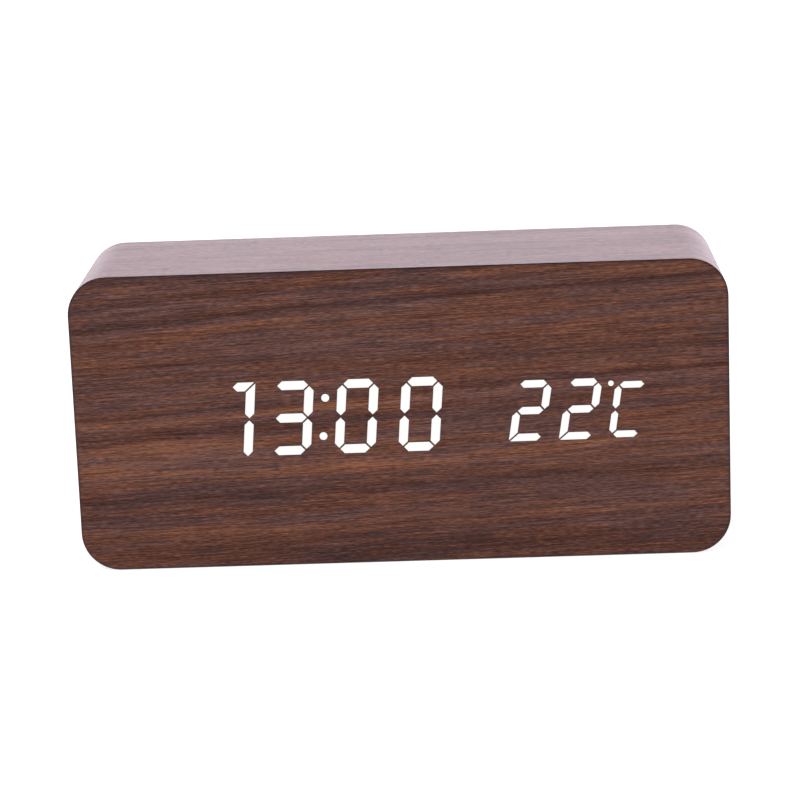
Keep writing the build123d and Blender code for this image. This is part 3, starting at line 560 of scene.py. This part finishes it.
def circuit_board(name):
    """Solder mask over copper tracks."""
    shader = Shader(name)
    dark_mask = srgb(16, 78, 44)
    pale_mask = srgb(24, 96, 54)
    track_green = srgb(58, 138, 82)
    track_pitch = 4 * MM
    x, _, z = shader.place()
    vector = shader.add("ShaderNodeCombineXYZ", {0: x, 1: z})
    grid = {"Vector": vector, "Scale": 1 / track_pitch, "Mortar Size": 0.03, "Mortar Smooth": 0.2}
    tracks = shader.add("ShaderNodeTexBrick", grid, output="Fac")
    clouds = shader.even_noise(size=6 * MM, seed=8.0, detail=3.0)
    mask = shader.mix(clouds, dark_mask, pale_mask)
    shader.set(Base_Color=shader.mix(tracks, mask, track_green))
    shader.set(Roughness=shader.span(clouds, bottom=0.3, top=0.42))
    shader.set(Normal=shader.bump(tracks, depth=0.03 * MM, strength=0.5))
    return shader.material


def cell_jacket(name):
    """Plain jacket of a dry cell: a pale grey body, a slate band by the nub and bare steel at both ends."""
    shader = Shader(name)
    cell_count = 4
    body_grey = srgb(186, 190, 193)
    band_slate = srgb(58, 74, 92)
    steel = srgb(190, 190, 188)
    band_start = 0.62
    bare_start = 0.93
    softness = 0.005
    x, _, z = shader.place()
    low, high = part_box("battery_cells")
    middle = (low.x + high.x) / 2
    half = (high.x - low.x) / 2
    pitch = (high.z - low.z) / cell_count
    row = shader.math("FLOOR", shader.over(shader.minus(z, low.z), pitch))
    odd_row = shader.math("MODULO", row, 2.0)
    facing = shader.span(odd_row, bottom=1.0, top=-1.0)
    towards_nub = shader.times(shader.minus(x, middle), facing)
    off_middle = shader.math("ABSOLUTE", towards_nub)
    band = shader.smooth(towards_nub, band_start * half, (band_start + softness) * half)
    bare = shader.smooth(off_middle, bare_start * half, (bare_start + softness) * half)
    scuffs = shader.even_noise(size=0.5 * MM, seed=4.0)
    jacket = shader.mix(band, body_grey, band_slate)
    shader.set(Base_Color=shader.mix(bare, jacket, steel))
    shader.set(Metallic=shader.span(bare, bottom=0.3, top=1.0))
    shader.set(Roughness=shader.span(scuffs, bottom=0.24, top=0.36))
    return shader.material


def ribbon_cable(name):
    """Flat cable: a row of insulated wires side by side, with painted shade in the grooves between them."""
    shader = Shader(name)
    wire_pitch = 1.27 * MM
    groove_shade_grey = srgb(112, 114, 118)
    dark_grey = srgb(150, 152, 156)
    pale_grey = srgb(184, 186, 190)
    wire_share = 0.3
    x, _, _ = shader.place()
    wave = shader.math("SINE", shader.times(x, radians(360) / wire_pitch))
    ridge = shader.math("ABSOLUTE", wave)
    scuffs = shader.even_noise(size=3 * MM, seed=5.0, detail=3.0)
    wires = shader.mix(scuffs, dark_grey, pale_grey)
    # Painted shade: the grooves between the wires are coloured darker than their tops
    shader.set(Base_Color=shader.mix(shader.times(ridge, wire_share), groove_shade_grey, wires))
    shader.set(Roughness=shader.span(scuffs, bottom=0.4, top=0.55))
    shader.set(Normal=shader.bump(ridge, depth=0.2 * MM, strength=0.6))
    return shader.material


# Dressing, stage and camera

def node_materials():
    """The material of each piece of film, by its node."""
    return {
        "front_veneer": face_film("face_film"),
        "side_veneer": wrap_film("wrap_film"),
        "base_veneer": base_film("base_film"),
        "rear_veneer": rim_film("rim_film"),
    }


def slot_materials():
    """The other materials, by their slots."""
    own = (fibreboard, lit_stroke, clear_resin, circuit_board, cell_jacket, ribbon_cable)
    materials = {make.__name__: make(make.__name__) for make in own}
    for slot in plastics:
        materials[slot] = plastic(slot)
    for slot in metals:
        materials[slot] = metal(slot)
    return materials


def dress_nodes():
    """Give every CAD node its material."""
    by_node = node_materials()
    by_slot = slot_materials()
    for part in frame["record"]["subparts"]:
        name = part["node"]
        slots = frame["nodes"][name].data.materials
        slots.clear()
        slots.append(by_node.get(name) or by_slot[part["material_slot"]])


def seen_directly(shader, path):
    """One for rays from the camera, from a reflection or through glass, and zero for light on the clock."""
    indirect = shader.math("MAXIMUM", path["Is Glossy Ray"], path["Is Transmission Ray"])
    return shader.math("MAXIMUM", path["Is Camera Ray"], indirect)


def floor_paper(name):
    """Pale paper that keeps the clock's shadow, and is near white to the camera and in reflections."""
    shader = Shader(name)
    path = shader.tree.nodes.new("ShaderNodeLightPath").outputs
    flecks = shader.even_noise(floor_fleck, seed=1.0, detail=3.0)
    shader.set(Base_Color=shader.mix(flecks, scaled_colour(floor_grey, floor_fleck_scale), floor_grey))
    shader.set(Roughness=0.9, Specular_IOR_Level=0.0, Emission_Color=white)
    shader.set(Emission_Strength=shader.times(seen_directly(shader, path), floor_glow))
    return shader.material


def add_floor():
    """Floor just under the clock."""
    half = floor_size / 2
    corners = [(-half, -half, 0), (half, -half, 0), (half, half, 0), (-half, half, 0)]
    mesh = bpy.data.meshes.new("floor")
    mesh.from_pydata(corners, [], [(0, 1, 2, 3)])
    mesh.materials.append(floor_paper("floor_paper"))
    floor = bpy.data.objects.new("floor", mesh)
    floor.location.z = case_low.z - floor_drop
    bpy.context.scene.collection.objects.link(floor)


def add_world():
    """White to the camera, a dim room and a white sweep in reflections, and even light on the clock."""
    world = bpy.data.worlds.new("studio")
    bpy.context.scene.world = world
    shader = WorldShader(world)
    path = shader.tree.nodes.new("ShaderNodeLightPath").outputs
    _, depth, _ = shader.split(shader.add("ShaderNodeTexCoord", {}, output="Generated"))
    sweep = shader.smooth(depth, *sweep_limits, bottom=front_reflection)
    seen_share = seen_directly(shader, path)
    seen = shader.times(seen_share, shader.math("MAXIMUM", path["Is Camera Ray"], sweep))
    lit = shader.times(shader.minus(1.0, seen_share), ambient_strength)
    shader.set(Color=shader.mix(path["Is Camera Ray"], reflection_tint, white))
    shader.set(Strength=shader.total(lit, seen))


def add_lights():
    """Soft boxes that face the clock."""
    for box in soft_boxes:
        light = bpy.data.lights.new(box.name, "AREA")
        light.shape = "RECTANGLE"
        light.size, light.size_y = box.size
        light.energy = box.power
        light.color = box.colour[:3]
        lamp = bpy.data.objects.new(box.name, light)
        lamp.location = box.place
        aim = view_target - lamp.location
        lamp.rotation_euler = aim.to_track_quat("-Z", "Y").to_euler()
        lamp.visible_camera = False
        bpy.context.scene.collection.objects.link(lamp)


def add_camera():
    """Camera at the photograph's angle, turned about its own axis by the roll."""
    data = bpy.data.cameras.new("camera")
    data.sensor_fit = "HORIZONTAL"
    data.sensor_width = sensor_width
    data.lens = view_lens
    camera = bpy.data.objects.new("camera", data)
    turn = Matrix()
    for angle, axis in ((view_azimuth, "Z"), (90 - view_elevation, "X"), (view_roll, "Z")):
        turn = turn @ Matrix.Rotation(radians(angle), 4, axis)
    back = Matrix.Translation((0, 0, view_distance))
    camera.matrix_world = Matrix.Translation(view_target) @ turn @ back
    bpy.context.scene.collection.objects.link(camera)
    bpy.context.scene.camera = camera


dress_nodes()
add_floor()
add_world()
add_lights()
add_camera()
bpy.context.scene.view_settings.view_transform = "Standard"
